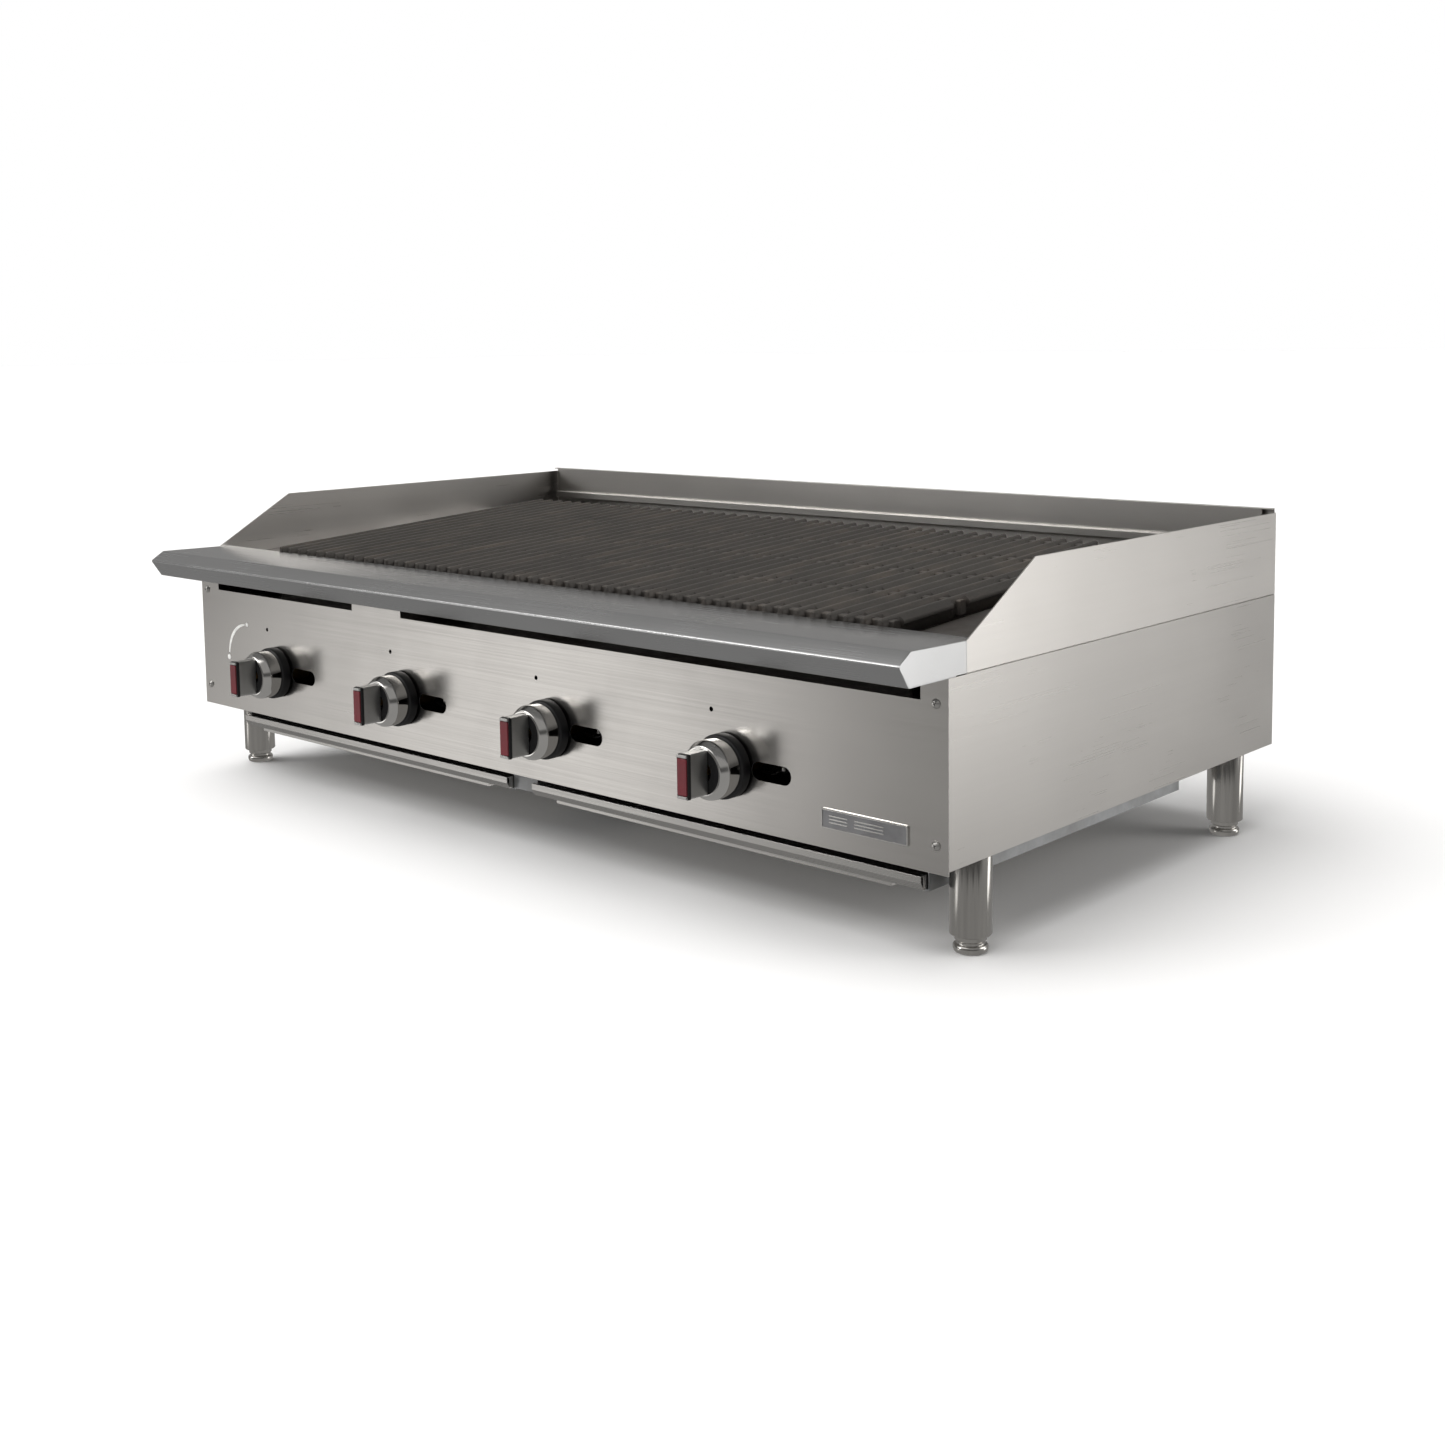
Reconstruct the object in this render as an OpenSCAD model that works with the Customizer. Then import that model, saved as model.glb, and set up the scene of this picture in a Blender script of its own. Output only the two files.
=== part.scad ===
// Countertop gas charbroiler: U-shaped burners under lift-out cast grates, in a folded
// sheet-steel body that stands on four adjustable legs.
// Millimetres. +X is right for a person at the controls, +Y is towards the back, +Z is up.
// The origin is on the worktop, in the middle of the whole object's footprint.

/* [Body] */
// Width over the two side panels
body_w = 1219; // [1010:1:1500]
// Depth from the control panel's face to the rear edge
body_d = 648; // [540:1:800]
// Height of the side panels' lower edge above the worktop
floor_gap = 94; // [78:1:130]
// Height of the side panels
side_h = 175; // [170:1:215]
// Thickness of the outer sheet
sheet = 1.5; // [1.2:0.1:2]
// Width of the folded flanges inside the side panels
flange_w = 40; // [34:1:48]
// Depth and height of the groove along the seam above the side panels
seam_groove = 0.8; // [0.5:0.1:1.2]
// Clearance between sheets that stand side by side
sheet_gap = 0.3; // [0.2:0.1:0.6]

/* [Control panel] */
// Thickness of the control panel
panel_t = 1.2; // [1:0.1:1.5]
// How far the control panel hangs below the side panels
panel_drop = 4; // [2:0.5:6]
// Height of the vent gap under the ledge
vent_h = 22.5; // [16:0.5:26]
// Distance from the left end to the vent gap
vent_left = 40.5; // [30:0.5:60]
// Distance from the right end to the vent gap
vent_right = 30.5; // [26:0.5:60]
// Distance from the left end to the bridge across the vent gap
bridge_left = 338.5; // [200:0.5:400]
// Width of the bridge across the vent gap
bridge_w = 96; // [40:1:140]
// Height of the knob axes above the side panels' lower edge
knob_rise = 57; // [50:1:70]
// Length of a lighting slot
slot_l = 50; // [40:1:60]
// Height of a lighting slot
slot_h = 18.5; // [14:0.5:22]
// Distance from a burner's middle to its lighting slot's middle
slot_shift = 11.6; // [8:0.1:14]
// Height of the pilot valves above the side panels' lower edge
pilot_rise = 110; // [104:1:124]
// Distance from a knob's axis to its pilot valve, to the left
pilot_shift = 21; // [18:1:28]
// Radius of the hole to a pilot valve's screw
pilot_hole_r = 2.5; // [2:0.1:4]
// Distance from the panel's ends to its screws
screw_inset = 13.5; // [10:0.5:16]
// Radius of a panel screw's shank
screw_r = 2; // [1.5:0.1:2.5]
// Width of the badge plate
badge_w = 101; // [60:1:120]
// Height of the badge plate
badge_h = 19.5; // [12:0.5:30]

/* [Ledge] */
// How far the front ledge stands out from the control panel
ledge_reach = 72; // [70:1:90]
// Height of the ledge's top at the back
ledge_h = 30; // [24:0.5:36]
// How much the ledge's top rises towards the front
ledge_crown = 2; // [0:0.5:4]
// Depth of the ledge's top behind the control panel's face
ledge_back = 46; // [40:1:50]
// Depth of the ledge's end caps behind the control panel's face
ledge_cap = 28; // [20:1:34]

/* [Splash guards] */
// Height of the side splash guards
splash_h = 94.5; // [80:0.5:114]
// Depth at which the side splash guards reach their full height
splash_ramp = 141; // [110:1:200]
// Height of the back splash guard
back_h = 99.5; // [97:0.5:120]
// Depth of the hem along the back splash guard's top
hem = 8; // [5:0.5:12]
// Height of the step in the back splash guard
step_h = 63; // [55:1:75]
// Height of the strip below that step
strip_h = 9; // [5:0.5:14]
// Gap between the back splash guard's face and the side splash guards
corner_gap = 12; // [6:1:20]

/* [Grates] */
// Number of lift-out grates
grate_count = 7; // [5:1:9]
// Number of bars in a grate
bar_count = 7; // [5:1:8]
// Distance from the body's side to the first grate
grate_side = 103.5; // [96:0.5:120]
// Distance from the control panel's face to the grates
grate_y = 50; // [48:1:58]
// Depth of the flue gap behind the grates
flue_gap = 133; // [105:1:150]
// Height of the grates' front edge above the side panels
grate_z = 35.5; // [31:0.1:40]
// Rise of the grates towards the back, in degrees
grate_slope = 3.6; // [0:0.1:5]
// Gap between neighbouring grates
grate_gap = 2.5; // [1:0.1:4]
// Height of a grate's bars
bar_h = 22; // [18:1:26]
// Width of a bar at its top
bar_top = 5; // [4:0.5:8]
// Width of a bar at its shoulders
bar_w = 15.5; // [12:0.5:17]
// Depth of the shoulders below the bars' tops
shoulder_drop = 6; // [4:0.5:8]
// Width of a bar at its foot
bar_foot = 6; // [4:0.5:8]
// Number of cross ribs in a grate
rib_count = 5; // [3:1:7]
// Thickness of a cross rib
rib_t = 9; // [6:0.5:12]
// Depth of the cross ribs below the bars' tops
rib_drop = 3; // [2:0.5:6]

/* [Firebox] */
// Distance from the body's side to the firebox
firebox_side = 88.5; // [84:0.5:95]
// Distance from the control panel's face to the firebox
firebox_y = 64; // [62:0.5:68]
// Depth of the side decks below the grates' tops
deck_drop = 20; // [14:0.5:24]
// Thickness of the side decks and grate rests
deck_t = 2; // [1.5:0.5:3]
// Depth of the rest under the grates' ends
rest_d = 32; // [20:1:45]
// Height of the radiant shelf above the side panels' lower edge
shelf_rise = 100; // [92:1:104]
// Depth of the radiant shelf
shelf_d = 24; // [15:1:35]

/* [Burners] */
// Number of burners
burner_count = 4; // [3:1:5]
// Distance between a burner's two arms
arm_pitch = 90.8; // [80:0.2:100]
// Outer radius of a burner tube
tube_r = 16; // [12:0.5:18]
// Wall of a burner tube
tube_t = 1.5; // [1:0.1:2.5]
// Outer radius of the burner's mixer mouth
mouth_r = 19; // [18.5:0.5:20]
// Length of the mixer mouth
mouth_l = 22; // [18:1:30]
// Radius of the mixer's throat
throat_r = 11; // [9:0.5:13]
// Gap between a valve's jet and the mixer mouth
jet_gap = 3; // [2:0.5:5]
// Radius of a flame port
port_r = 1.6; // [1:0.1:2]
// Distance between flame ports
port_pitch = 24; // [15:1:40]
// Width of a radiant
radiant_w = 190; // [150:1:200]
// Height of a radiant
radiant_h = 36; // [25:1:42]
// Thickness of a radiant
radiant_t = 2.5; // [1.5:0.5:4]
// Thickness of an air shutter
shutter_t = 1.5; // [1:0.1:2.5]
// Running clearance of an air shutter on its mouth
shutter_fit = 0.06; // [0.02:0.01:0.1]

/* [Gas train] */
// Outer radius of the gas manifold
manifold_r = 13.35; // [11:0.05:14]
// Inner radius of the gas manifold
manifold_bore = 10.5; // [8:0.1:10.9]
// Distance from the control panel's face to the manifold's axis
manifold_y = 40; // [38:0.5:44]
// Radius of a main valve's body
valve_r = 13; // [10:0.5:15]
// Radius of a valve stem
stem_r = 4; // [3:0.1:5]
// Running clearance of a stem in its valve
stem_fit = 0.05; // [0.02:0.01:0.1]
// Radius of a pilot tube
pilot_tube_r = 3; // [2:0.1:4]
// Length of the pressure regulator
regulator_l = 68; // [60:1:90]
// Radius of the regulator's diaphragm housing
housing_r = 29; // [24:0.5:34]
// Radius of the gas inlet's thread
inlet_r = 12.05; // [10:0.05:13]
// Length of the gas inlet's thread
inlet_l = 16; // [12:1:20]

/* [Knobs] */
// Radius of a knob's skirt
skirt_r = 32.5; // [27:0.5:34]
// Thickness of a knob's skirt
skirt_t = 12; // [8:0.5:14]
// Gap between a knob's skirt and the panel
knob_gap = 2; // [1.5:0.5:4]
// Radius of the bezel where it meets the skirt
bezel_r = 30; // [26:0.5:32]
// Radius of the bezel's front rim
bezel_rim = 25; // [23.5:0.5:26]
// Depth of the bezel
bezel_t = 24; // [16:0.5:26]
// Width of the grip
grip_w = 16; // [12:0.5:20]
// Height of the grip
grip_h = 45; // [38:0.5:50]
// Depth of the grip in front of the bezel
grip_d = 28; // [16:0.5:30]
// Depth of the recess for the grip's insert
insert_recess = 1.5; // [1:0.1:2]

/* [Drip trays] */
// Distance from the body's side to a tray
tray_side = 50; // [46:0.5:60]
// Gap between the two trays
tray_mid = 42.6; // [36:0.2:60]
// Distance from the control panel's face to the trays' lips
tray_front = 27; // [20:1:34]
// Height of a tray
tray_h = 28; // [24:1:32]
// Height of a tray's lip
lip_h = 14; // [10:0.5:18]
// Thickness of a tray's sheet
tray_t = 1.2; // [0.8:0.1:1.5]
// Width of a tray's raised margins
tray_margin = 38; // [30:1:50]
// Depth of the sump between those margins
sump = 3.5; // [2:0.5:6]
// Clearance between a tray and its rails
tray_gap = 1; // [0.5:0.1:1.5]

/* [Legs] */
// Outer radius of a leg
leg_r = 20; // [17:0.5:21]
// Distance from the body's side to the legs' axes
leg_side = 21.5; // [21.5:0.5:24]
// Distance from the control panel's face to the front legs
leg_front = 66; // [50:1:90]
// Distance from the rear edge to the rear legs
leg_rear = 73; // [50:1:90]
// Height of the legs' lower ends above the worktop
foot_show = 17; // [14:0.5:30]
// Radius of a foot's stem
foot_stem_r = 15; // [12:0.5:15.5]
// Radius of a foot's base
foot_r = 16.5; // [15.8:0.1:19]
// Clearance of a foot's stem in its leg
foot_fit = 0.1; // [0.05:0.01:0.1]
// Radius of a leg's fixing stud
stud_r = 5; // [4:0.5:6]

/* [Hidden] */
$fn = 64;
hair = 0.01;
half_w = body_w / 2;
inner_half = half_w - sheet - sheet_gap;

// Clearance between the rear edge and the regulator
regulator_gap = 2;
// Overall depth, from the ledge's nose to the regulator's rear face
total_d = ledge_reach + body_d + regulator_gap + regulator_l;
front_y = ledge_reach - total_d / 2;

// Heights
base_z = floor_gap;
seam_z = base_z + side_h;
panel_z = base_z - panel_drop;
knob_z = base_z + knob_rise;
manifold_z = base_z + pilot_rise;
shelf_z = base_z + shelf_rise;
plate_t = 2.5;
plate_z = base_z + sheet;
firebox_z = plate_z + plate_t;

// Control panel: depth of its folds, heights of its screws, holes round stems and tubes
panel_fold = 12;
screw_low = base_z + 22;
screw_high = seam_z - 24;
hole_gap = 2;

// Widths of the flanges at the side panels' tops and ends
top_flange = 20;
end_flange = 28;

// Firebox, grates and burners
firebox_half = half_w - firebox_side;
grate_d = body_d - grate_y - flue_gap;
firebox_rear = grate_y + grate_d * cos(grate_slope) - sheet;
grate_pitch = (body_w - 2 * grate_side) / grate_count;
grate_w = grate_pitch - grate_gap;
rest_gap = 0.2;
bar_pitch = grate_pitch / bar_count;
burner_pitch = 2 * firebox_half / burner_count;
bend_gap = 22;
burner_rear = firebox_rear - tube_r - arm_pitch / 2 - bend_gap;
burner_front = firebox_y + sheet + 42;
radiant_gap = 2;

// Gas train
valve_front = 15;
valve_rear = manifold_y;
jet_r = 6;
jet_rear = valve_rear + 14;
stem_end = valve_front + 10;
joint_gap = 0.05;
mouth_y = jet_rear + jet_gap;
neck_r = 8;
pipe_x = firebox_half + 19.5;
pilot_tube_y = 20;
pilot_turn_z = (knob_z + valve_r + manifold_z - manifold_r) / 2;
pipe_socket = 12;
pipe_end = body_d + regulator_gap + pipe_socket;

// Knobs
skirt_y = -knob_gap - skirt_t;
bezel_y = skirt_y - bezel_t;
knob_core_r = 12;
core_fit = 0.05;
stem_tip = bezel_y - 4;

// Trays and legs
tray_w = (body_w - 2 * tray_side - tray_mid) / 2;
tray_x = (tray_mid + tray_w) / 2;
tray_top = panel_z - 2;
tray_z = tray_top - tray_h;
tray_d = grate_y + grate_d - tray_front;
tray_stop = 10;
rail_t = 1.5;
rail_gap = 0.3;
leg_top = base_z;
leg_wall = 14;
leg_x = half_w - leg_side;
leg_ys = [leg_front, body_d - leg_rear];
stud_h = 16;
stud_fit = 0.3;
weld_nut = 8;

// ---- Positions ----------------------------------------------------------------------

function burner_x(i) = -firebox_half + burner_pitch * (i - 0.5);
function knob_x(i) = burner_x(i) - arm_pitch / 2;
function slot_x(i) = burner_x(i) + slot_shift;
function grate_x(i) = grate_pitch * (i - (grate_count + 1) / 2);
function leg_place(i) = [(i % 2 == 1 ? -1 : 1) * leg_x, leg_ys[i > 2 ? 1 : 0]];

// Height of the grates' top plane at depth y, less a depth measured square to it
function grate_plane(y, below) =
    seam_z + grate_z + (y - grate_y) * tan(grate_slope) - below / cos(grate_slope);

// ---- Shapes that repeat ---------------------------------------------------------------

function unit(v) = v / norm(v);
function left_of(v) = [-v.y, v.x];

// Corner i of a line that runs at distance t to the left of an open path
function inner_corner(path, i, t) =
    let (last = len(path) - 1,
         a = unit(path[max(i, 1)] - path[max(i, 1) - 1]),
         b = unit(path[min(i, last - 1) + 1] - path[min(i, last - 1)]))
    path[i] + (left_of(a) + left_of(b)) * t / (1 + a * b);

// Section of a folded sheet whose outer face follows the path
module bent_sheet(path, t) {
    inner = [for (i = [len(path) - 1:-1:0]) inner_corner(path, i, t)];
    polygon(concat(path, inner));
}

// Everything is drawn from the control panel's face and moved here into the shared frame
module from_panel() {
    translate([0, front_y, 0]) children();
}

// A (Y, Z) section swept over a width, in the middle of the body
module across(w) {
    translate([-w / 2, 0, 0]) rotate([90, 0, 90]) linear_extrude(w) children();
}

// An (X, Z) section swept from y0 to y1
module along(y0, y1) {
    translate([0, y1, 0]) rotate([90, 0, 0]) linear_extrude(y1 - y0) children();
}

// A round bar along Y from y0 to y1
module bar_y(r, y0, y1, x = 0, z = 0) {
    translate([x, y0, z]) rotate([-90, 0, 0]) cylinder(r = r, h = y1 - y0);
}

// A round bar along X from x0 to x1, on the manifold's axis
module bar_x(r, x0, x1) {
    translate([x0, manifold_y, 0]) rotate([0, 90, 0]) cylinder(r = r, h = x1 - x0);
}

// A turned shape about the Y axis, from (radius, y) points
module turned(points) {
    rotate([-90, 0, 0]) rotate_extrude() polygon(points);
}

// The sloping plane of the grates' tops
module on_slope() {
    translate([0, grate_y, seam_z + grate_z]) rotate([grate_slope, 0, 0]) children();
}

// ---- Outer body -------------------------------------------------------------------------

module control_panel() {
    vent_z = seam_z - vent_h;
    vent_x = -half_w + vent_left;
    bridge_x = -half_w + bridge_left;
    bridge_end = bridge_x + bridge_w;
    cut_d = panel_fold + 2;
    from_panel() color("silver") difference() {
        union() {
            translate([-half_w, 0, panel_z]) cube([body_w, panel_t, seam_z - panel_z]);
            for (z = [panel_z, vent_z - panel_t])
                translate([vent_x, 0, z]) cube([body_w - vent_left - vent_right, panel_fold, panel_t]);
        }
        translate([vent_x, -1, vent_z]) cube([bridge_x - vent_x, cut_d, vent_h + 1]);
        translate([bridge_end, -1, vent_z]) cube([half_w - vent_right - bridge_end, cut_d, vent_h + 1]);
        for (i = [1:burner_count]) {
            bar_y(stem_r + hole_gap, -1, panel_t + 1, knob_x(i), knob_z);
            bar_y(pilot_hole_r, -1, panel_t + 1, knob_x(i) - pilot_shift, manifold_z);
            lighting_slot(slot_x(i));
        }
        panel_screw_places() bar_y(screw_r + sheet_gap, -1, panel_t + 1);
    }
}

module lighting_slot(x) {
    reach = (slot_l - slot_h) / 2;
    for (side = [-1, 1]) bar_y(slot_h / 2, -1, panel_t + 1, x + side * reach, knob_z);
    translate([x - reach, -1, knob_z - slot_h / 2]) cube([2 * reach, panel_t + 2, slot_h]);
}

module panel_screw_places() {
    for (side = [-1, 1], z = [screw_low, screw_high])
        translate([side * (half_w - screw_inset), 0, z]) children();
}

// Pan-head screws, each from its rounded head to its pointed shank
module panel_screws() {
    head_r = 4.6;
    head_h = 3;
    shank = 11;
    from_panel() color("gainsboro") panel_screw_places()
        turned([[0, -head_h], [head_r * 0.55, -head_h * 0.93], [head_r * 0.91, -head_h * 0.53], [head_r, 0],
                [screw_r, 0], [screw_r, shank], [0, shank + 1]]);
}

module badge_plate() {
    x = half_w - 94;
    z = base_z + 25.3;
    thick = 2;
    rim = 1.6;
    face = 0.2;
    from_panel() color("white") difference() {
        translate([x - badge_w / 2, -thick, z - badge_h / 2]) cube([badge_w, thick, badge_h]);
        translate([x - badge_w / 2 + rim, -thick - 1, z - badge_h / 2 + rim])
            cube([badge_w - 2 * rim, thick + 1 - face, badge_h - 2 * rim]);
    }
}

// The ledge's outline, from its top's back edge round the nose to the panel's top: the nose
// starts ledge_slant in front of the top's bend and returns ledge_under to the underside
ledge_slant = 17;
ledge_under = 13;
nose_high = ledge_h - 8.5;
nose_low = ledge_h - 11;
ledge_top = [[ledge_cap, ledge_h], [ledge_slant - ledge_reach, ledge_h + ledge_crown]];
ledge_nose = [[-ledge_reach, nose_high], [-ledge_reach, nose_low], [ledge_under - ledge_reach, 0]];

module front_ledge() {
    lip_low = 5;
    outline = concat(ledge_top, ledge_nose, [[panel_fold, 0]]);
    from_panel() color("slategray") translate([0, 0, seam_z]) difference() {
        union() {
            across(body_w) bent_sheet(outline, sheet);
            across(2 * inner_half)
                bent_sheet([[ledge_back, lip_low], [ledge_back, ledge_h], [ledge_cap - 1, ledge_h]], sheet);
            for (side = [-1, 1]) translate([side * (half_w - sheet / 2), 0, 0])
                across(sheet) polygon(concat(ledge_top, ledge_nose, [[ledge_cap, 0]]));
        }
        for (side = [-1, 1]) translate([side * half_w, 0, 0])
            cube([2 * seam_groove, 2 * ledge_reach, 2 * seam_groove], center = true);
    }
}

// The right side panel; the left one is its mirror image
module side_panel() {
    section = [[half_w - flange_w, base_z], [half_w, base_z], [half_w, seam_z], [half_w - top_flange, seam_z]];
    from_panel() color("lightgray") difference() {
        union() {
            along(panel_t, body_d) bent_sheet(section, sheet);
            for (y = [panel_t, body_d - 2 * sheet])
                translate([half_w - end_flange, y, base_z]) cube([end_flange, sheet, side_h]);
        }
        for (y = leg_ys) translate([leg_x, y, base_z - 1]) cylinder(r = stud_r + stud_fit, h = sheet + 2);
        panel_screw_places() bar_y(screw_r + sheet_gap, 0, 2 * sheet + panel_t);
    }
}

module back_panel() {
    louvre_count = floor(body_w / 100);
    louvre_pitch = 60;
    louvre_w = 44;
    louvre_h = 5;
    row_pitch = 18;
    first_row = base_z + 40;
    from_panel() color("lightgray") difference() {
        translate([-inner_half, body_d - sheet, base_z + sheet + sheet_gap])
            cube([2 * inner_half, sheet, side_h - 2 * (sheet + sheet_gap)]);
        bar_y(manifold_r + hole_gap, body_d - 5, body_d + 5, pipe_x, manifold_z);
        for (i = [1:louvre_count], row = [0:2]) {
            x = (i - (louvre_count + 1) / 2) * louvre_pitch;
            translate([x - louvre_w / 2, body_d - 5, first_row + row_pitch * row])
                cube([louvre_w, 10, louvre_h]);
        }
    }
}

// ---- Splash guards ---------------------------------------------------------------------

// The right splash guard; the left one is its mirror image
module side_splash() {
    seat_w = 15;
    seat_y = ledge_back + 2;
    outline = [[ledge_cap, 0], [ledge_cap, ledge_h], [splash_ramp, splash_h], [body_d, splash_h], [body_d, 0]];
    from_panel() color("lightgray") translate([0, 0, seam_z]) difference() {
        union() {
            translate([half_w - sheet / 2, 0, 0]) across(sheet) polygon(outline);
            translate([half_w - seat_w, seat_y, 0]) cube([seat_w, body_d - hem - 10 - seat_y, sheet]);
        }
        translate([half_w - seam_groove, -1, -1]) cube([5, body_d + 2, seam_groove + 1]);
    }
}

module back_splash() {
    face_y = body_d - hem;
    face = [[face_y, back_h], [face_y, step_h], [face_y - hem, step_h], [face_y - hem, step_h - strip_h]];
    from_panel() color("gainsboro") translate([0, 0, seam_z]) {
        across(2 * inner_half) bent_sheet([[body_d, 0], [body_d, back_h], [face_y, back_h]], sheet);
        across(2 * (inner_half - corner_gap)) bent_sheet(face, sheet);
    }
}

// ---- Chassis ------------------------------------------------------------------------------

// A rail that carries one side of a drip tray: web outside the tray, shelf under its margin
module tray_rail(x, side) {
    shelf_top = tray_z - rail_gap;
    shelf_x = x - side * (tray_margin - 4);
    section = [[x + side * rail_t, plate_z + plate_t], [x + side * rail_t, shelf_top - rail_t],
               [shelf_x, shelf_top - rail_t], [shelf_x, shelf_top], [x, shelf_top], [x, plate_z + plate_t]];
    along(tray_front + tray_stop, tray_front + tray_d) polygon(section);
}

module base_frame() {
    edge = 3;
    plate_front = panel_t + sheet + 1;
    hole_front = firebox_y + sheet + 1;
    hole_d = firebox_rear - 1 - hole_front;
    hole_half = firebox_half - 1;
    mid = tray_mid / 2 - tray_gap;
    from_panel() color("darkgray") difference() {
        union() {
            difference() {
                translate([edge - half_w, plate_front, plate_z])
                    cube([body_w - 2 * edge, body_d - 2 * sheet - 1 - plate_front, plate_t]);
                translate([-hole_half, hole_front, plate_z - 1]) cube([2 * hole_half, hole_d, plate_t + 2]);
            }
            translate([-mid, hole_front - 1, plate_z]) cube([2 * mid, hole_d + 2, plate_t]);
            translate([-mid, tray_front + tray_stop, tray_z])
                cube([2 * mid, rail_t, plate_z + plate_t - tray_z]);
            for (side = [-1, 1]) {
                tray_rail(side * (half_w - tray_side + tray_gap), side);
                tray_rail(side * mid, -side);
            }
            for (i = [1:4]) translate([leg_place(i).x, leg_place(i).y, plate_z])
                cylinder(r = stud_r * 2, h = plate_t + weld_nut, $fn = 6);
        }
        for (i = [1:4]) translate([leg_place(i).x, leg_place(i).y, plate_z - 1])
            cylinder(r = stud_r + stud_fit, h = plate_t + weld_nut + 2);
    }
}

// ---- Firebox ------------------------------------------------------------------------------

// The right firebox wall with its sloping side deck; the left one is its mirror image
module firebox_side_wall() {
    y0 = firebox_y + sheet;
    y1 = firebox_rear;
    under = deck_drop + deck_t / 2;
    deck_x = half_w - grate_side + 0.5;
    deck_y = ledge_back - grate_y + 1;
    wall = [[y0, firebox_z], [y1, firebox_z], [y1, grate_plane(y1, under)], [y0, grate_plane(y0, under)]];
    from_panel() color("dimgray") {
        translate([firebox_half + sheet / 2, 0, 0]) across(sheet) polygon(wall);
        on_slope() translate([deck_x, deck_y, -deck_drop - deck_t])
            cube([inner_half - 1 - deck_x, grate_d - deck_y, deck_t]);
    }
}

// A firebox end wall at depth y, with its radiant shelf and its rest under the grates' ends
module firebox_end_wall(y, shelf_y, rest_y, rest_l) {
    w = 2 * firebox_half;
    rest_z = bar_h + rest_gap;
    under = rest_z + deck_t / 2;
    translate([-w / 2, y, firebox_z]) cube([w, sheet, grate_plane(y, under) - firebox_z]);
    translate([-w / 2 + 2, shelf_y, shelf_z - sheet]) cube([w - 4, shelf_d + hair, sheet]);
    on_slope() translate([-w / 2 + 0.5, rest_y, -rest_z - deck_t]) cube([w - 1, rest_l, deck_t]);
}

module firebox_front_wall() {
    rest_y = ledge_back - grate_y + 2;
    from_panel() color("dimgray") difference() {
        firebox_end_wall(firebox_y, firebox_y + sheet - hair, rest_y, rest_d - rest_y);
        for (i = [1:burner_count]) {
            bar_y(mouth_r + shutter_t + hole_gap, 0, firebox_y + 10, knob_x(i), knob_z);
            bar_y(pilot_tube_r + hole_gap, 0, firebox_y + 10, slot_x(i), knob_z);
        }
    }
}

module firebox_rear_wall() {
    from_panel() color("dimgray")
        firebox_end_wall(firebox_rear, firebox_rear - shelf_d, grate_d - rest_d, rest_d);
}

// Ridge over each burner arm, with a shallow valley between them
module radiant(i) {
    edge = radiant_w / 2;
    ridge = arm_pitch / 2;
    valley = radiant_h - 20;
    section = [[edge, 0], [ridge, radiant_h], [0, valley], [-ridge, radiant_h], [-edge, 0]];
    y0 = firebox_y + sheet + radiant_gap;
    y1 = firebox_rear - radiant_gap;
    hole_pitch = 40;
    hole_count = floor((y1 - y0) / hole_pitch) - 2;
    // Lift that puts the folded sheet's lower corners on the shelf
    lift = radiant_t * (edge - ridge) / norm([edge - ridge, radiant_h]);
    from_panel() color("rosybrown") translate([burner_x(i), 0, shelf_z + lift]) difference() {
        along(y0, y1) bent_sheet(section, radiant_t);
        for (k = [1:hole_count + 1], side = [-1, 1])
            translate([side * ridge, y0 + hole_pitch * k, 0]) cylinder(r = 4, h = radiant_h + 5);
    }
}

// ---- Grates --------------------------------------------------------------------------------

// A bar with a narrow ridge, sloping shoulders and a tapering foot
module grate_bar() {
    shoulder = 4;
    half = [[bar_foot / 2, -bar_h], [bar_w / 2, -shoulder_drop - shoulder], [bar_w / 2, -shoulder_drop],
            [bar_top / 2, 0]];
    along(0, grate_d) polygon(concat(half, [for (k = [3:-1:0]) [-half[k].x, half[k].y]]));
}

module grate(i) {
    rib_rise = 4;
    from_panel() color("#3a3734") on_slope() translate([grate_x(i), 0, 0]) {
        for (k = [0:bar_count - 1]) translate([bar_pitch * (k - (bar_count - 1) / 2), 0, 0]) grate_bar();
        for (k = [0:rib_count - 1])
            translate([-grate_w / 2, (grate_d - rib_t) * k / (rib_count - 1), rib_rise - bar_h])
                cube([grate_w, rib_t, bar_h - rib_rise - rib_drop]);
    }
}

// ---- Burners ---------------------------------------------------------------------------------

// One burner's outer or inner surface, drawn smaller by "skin"
module burner_form(skin) {
    tube = tube_r - skin;
    mouth_end = mouth_y + mouth_l;
    throat_y = mouth_end + 26;
    flare_y = throat_y + 50;
    turned([[0, mouth_y - skin], [mouth_r - skin, mouth_y - skin], [mouth_r - skin, mouth_end],
            [throat_r - skin, throat_y], [tube, flare_y], [tube, burner_rear], [0, burner_rear]]);
    translate([arm_pitch / 2, burner_rear, 0]) rotate_extrude(angle = 180)
        translate([arm_pitch / 2, 0]) circle(r = tube);
    bar_y(tube, burner_front + skin, burner_rear, arm_pitch);
}

module burner(i) {
    first_port = mouth_y + mouth_l + 90;
    port_count = floor((burner_rear - first_port) / port_pitch);
    lean = 35;
    from_panel() color("tan") translate([knob_x(i), 0, knob_z]) difference() {
        burner_form(0);
        burner_form(tube_t);
        for (arm = [0, arm_pitch], k = [0:port_count], side = [-lean, lean])
            translate([arm, first_port + port_pitch * k, 0]) rotate([0, side, 0])
                cylinder(r = port_r, h = tube_r + 5, $fn = 16);
    }
}

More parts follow.
